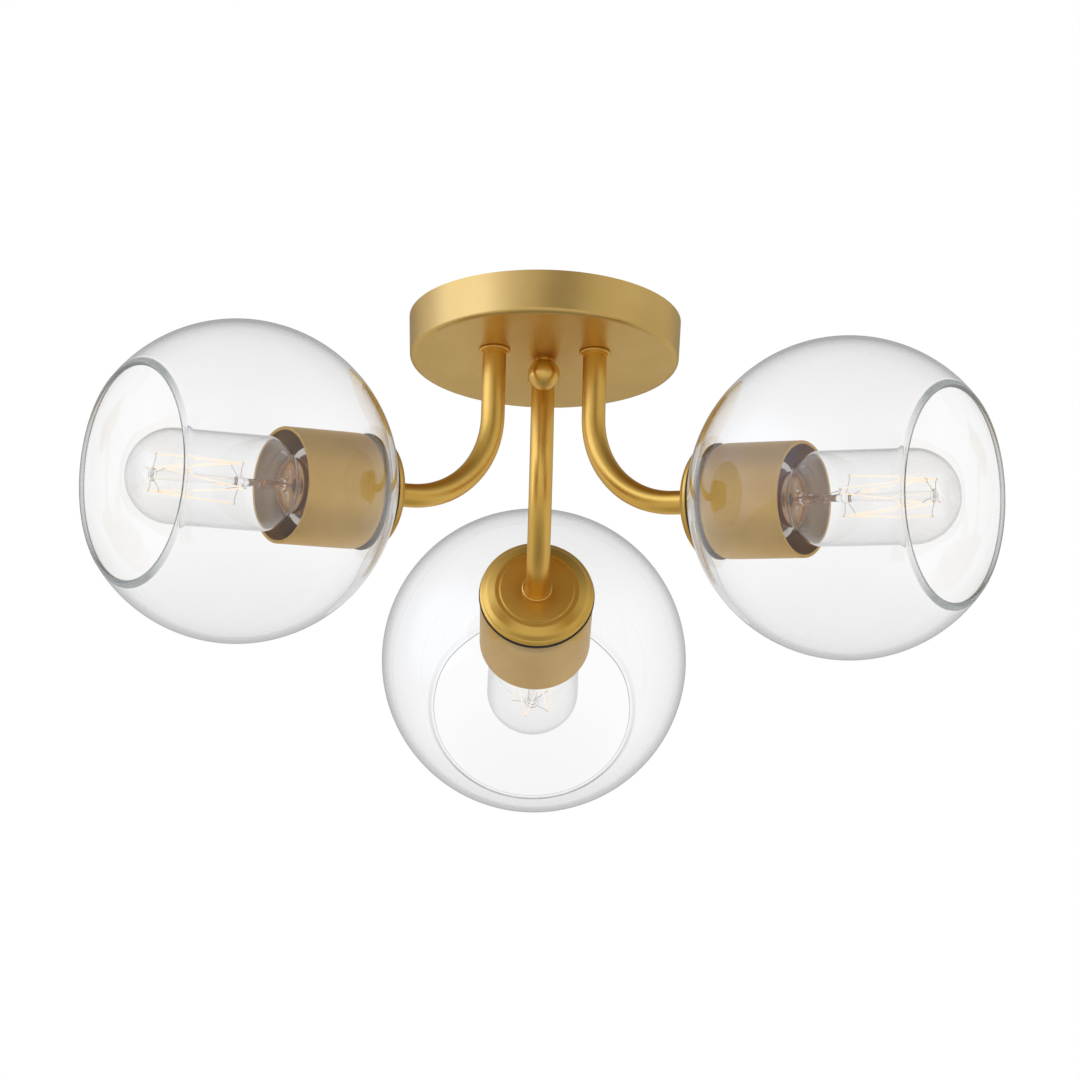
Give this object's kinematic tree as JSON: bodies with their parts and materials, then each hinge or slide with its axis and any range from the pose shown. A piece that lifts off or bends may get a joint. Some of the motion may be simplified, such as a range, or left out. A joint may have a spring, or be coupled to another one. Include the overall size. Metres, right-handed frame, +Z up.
{
  "type": "semi flush ceiling light",
  "caption": "Semi flush ceiling light: round brass canopy, bent arms and clear open-mouthed glass globes facing outwards, each round a tubular screw-base bulb in a metal cup.",
  "frame": {"origin": "centre of the mounting crossbar's top face, on the ceiling plane, which is also the centre of the canopy's rim", "axes": "+Z up towards the ceiling; +Y along the rear arm, away from the front; +X to the right as seen from the front"},
  "size_m": [0.4293, 0.3809, 0.191],
  "materials": {
    "canopy_brass": "satin, spun",
    "arm_brass": "satin",
    "fitting_brass": "satin, turned",
    "cap_brass": "satin, spun",
    "cup_brass": "satin, spun",
    "nut_brass": "plain, milled",
    "zinc_steel": "zinc plated",
    "green_screw": "green, semi gloss",
    "black_insulation": "matte",
    "white_insulation": "matte",
    "copper_strand": "bright copper",
    "black_rubber": "matte",
    "clear_globe_glass": "clear, gloss",
    "glazed_porcelain": "white glaze",
    "shell_brass": "plain, rolled",
    "contact_brass": "plain, stamped",
    "bulb_base_brass": "bright, rolled",
    "base_insulator": "black glass",
    "solder": "dull tin solder",
    "bulb_glass": "clear, gloss",
    "stem_glass": "clear, gloss",
    "nickel_wire": "drawn wire",
    "filament": "glowing"
  },
  "bodies": {
    "fixture": {"canopy": "canopy_brass", "mounting_crossbar": "zinc_steel", "ground_screw": "green_screw", "centre_stud": "zinc_steel", "stud_lock_nut": "zinc_steel", "canopy_collars": "fitting_brass", "arm_lock_nuts": "nut_brass", "hot_leads": "black_insulation", "neutral_leads": "white_insulation", "lead_tips": "copper_strand", "cap_collars": "fitting_brass", "cup_gaskets": "black_rubber", "cup_lock_nuts": "nut_brass", "arm_tube_rear": "arm_brass", "back_cap_rear": "cap_brass", "glass_grommet_rear": "black_rubber", "glass_globe_rear": "clear_globe_glass", "socket_cup_rear": "cup_brass", "lampholder_rear": "glazed_porcelain", "screw_shell_rear": "shell_brass", "centre_contact_rear": "contact_brass", "arm_tube_left": "arm_brass", "back_cap_left": "cap_brass", "glass_grommet_left": "black_rubber", "glass_globe_left": "clear_globe_glass", "socket_cup_left": "cup_brass", "lampholder_left": "glazed_porcelain", "screw_shell_left": "shell_brass", "centre_contact_left": "contact_brass", "arm_tube_right": "arm_brass", "back_cap_right": "cap_brass", "glass_grommet_right": "black_rubber", "glass_globe_right": "clear_globe_glass", "socket_cup_right": "cup_brass", "lampholder_right": "glazed_porcelain", "screw_shell_right": "shell_brass", "centre_contact_right": "contact_brass"},
    "bulb_carrier_rear": {"bulb_contact_rear": "solder"},
    "bulb_rear": {"bulb_base_rear": "bulb_base_brass", "bulb_insulator_rear": "base_insulator", "bulb_envelope_rear": "bulb_glass", "bulb_stem_rear": "stem_glass", "bulb_filament_rear": "filament", "bulb_wires_rear": "nickel_wire"},
    "bulb_carrier_left": {"bulb_contact_left": "solder"},
    "bulb_left": {"bulb_base_left": "bulb_base_brass", "bulb_insulator_left": "base_insulator", "bulb_envelope_left": "bulb_glass", "bulb_stem_left": "stem_glass", "bulb_filament_left": "filament", "bulb_wires_left": "nickel_wire"},
    "bulb_carrier_right": {"bulb_contact_right": "solder"},
    "bulb_right": {"bulb_base_right": "bulb_base_brass", "bulb_insulator_right": "base_insulator", "bulb_envelope_right": "bulb_glass", "bulb_stem_right": "stem_glass", "bulb_filament_right": "filament", "bulb_wires_right": "nickel_wire"},
    "finial_carrier": {"finial_washer": "fitting_brass"},
    "finial": {"ball_finial": "fitting_brass"}
  },
  "joints": [
    {"name": "bulb_rear_turn", "type": "hinge", "parent": "bulb_carrier_rear", "child": "bulb_rear", "pos_m": [0, 0.1632, -0.116], "axis": [0, 0.9914, -0.1305], "range_deg": [0, 1620]},
    {"name": "bulb_rear_travel", "type": "slide", "parent": "fixture", "child": "bulb_carrier_rear", "axis": [0, 0.9914, -0.1305], "range_m": [0, 0.01633]},
    {"name": "bulb_left_turn", "type": "hinge", "parent": "bulb_carrier_left", "child": "bulb_left", "pos_m": [-0.14133, -0.0816, -0.116], "axis": [-0.8586, -0.4957, -0.1305], "range_deg": [0, 1620]},
    {"name": "bulb_left_travel", "type": "slide", "parent": "fixture", "child": "bulb_carrier_left", "axis": [-0.8586, -0.4957, -0.1305], "range_m": [0, 0.01633]},
    {"name": "bulb_right_turn", "type": "hinge", "parent": "bulb_carrier_right", "child": "bulb_right", "pos_m": [0.14133, -0.0816, -0.116], "axis": [0.8586, -0.4957, -0.1305], "range_deg": [0, 1620]},
    {"name": "bulb_right_travel", "type": "slide", "parent": "fixture", "child": "bulb_carrier_right", "axis": [0.8586, -0.4957, -0.1305], "range_m": [0, 0.01633]},
    {"name": "finial_turn", "type": "hinge", "parent": "finial_carrier", "child": "finial", "pos_m": [0, 0, -0.0276], "axis": [0, 0, -1], "range_deg": [0, 1980]},
    {"name": "finial_travel", "type": "slide", "parent": "fixture", "child": "finial_carrier", "axis": [0, 0, -1], "range_m": [0, 0.00699]}
  ],
  "couplings": [
    {"joint": "bulb_rear_travel", "follows": "bulb_rear_turn", "m_per_rad": 0.00057757},
    {"joint": "bulb_left_travel", "follows": "bulb_left_turn", "m_per_rad": 0.00057757},
    {"joint": "bulb_right_travel", "follows": "bulb_right_turn", "m_per_rad": 0.00057757},
    {"joint": "finial_travel", "follows": "finial_turn", "m_per_rad": 0.00020213}
  ]
}
